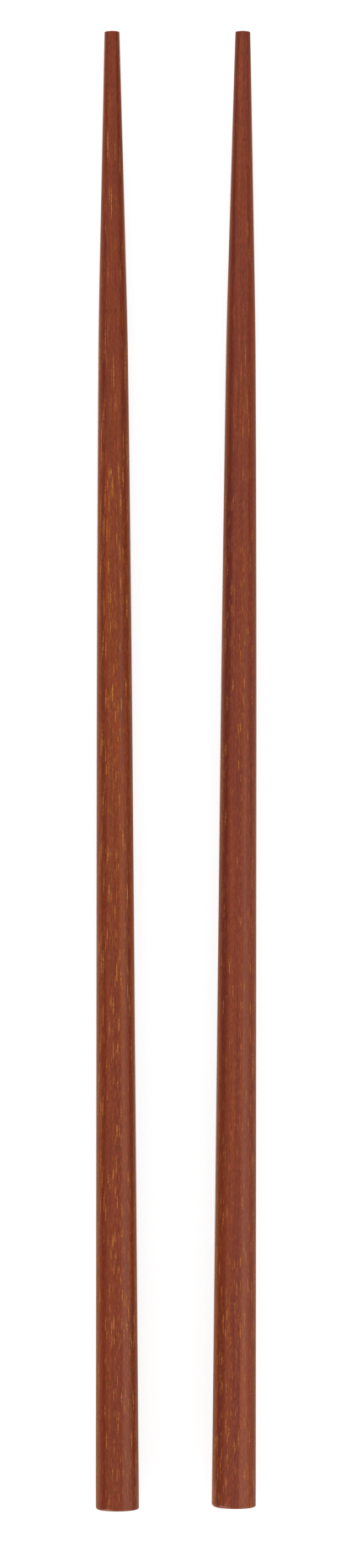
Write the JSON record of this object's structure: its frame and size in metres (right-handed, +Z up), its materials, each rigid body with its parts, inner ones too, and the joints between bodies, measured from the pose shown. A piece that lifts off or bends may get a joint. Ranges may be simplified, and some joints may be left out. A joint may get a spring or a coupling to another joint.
{
  "type": "pair of wooden chopsticks",
  "caption": "Pair of round, tapered wooden chopsticks for picking up food, lying side by side, in a red-brown satin lacquer with golden pores.",
  "frame": {"origin": "on the table under the pair, midway between the butts' outer sides and halfway along the longer stick", "axes": "+Z up from the table, +Y towards the tips, +X from the left stick to the right one as seen from above with the tips away from the viewer"},
  "size_m": [0.0255, 0.235, 0.0071],
  "materials": {
    "red_brown_wood": "satin"
  },
  "bodies": {
    "root": {"chopstick_left": "red_brown_wood", "chopstick_right": "red_brown_wood"}
  },
  "joints": []
}
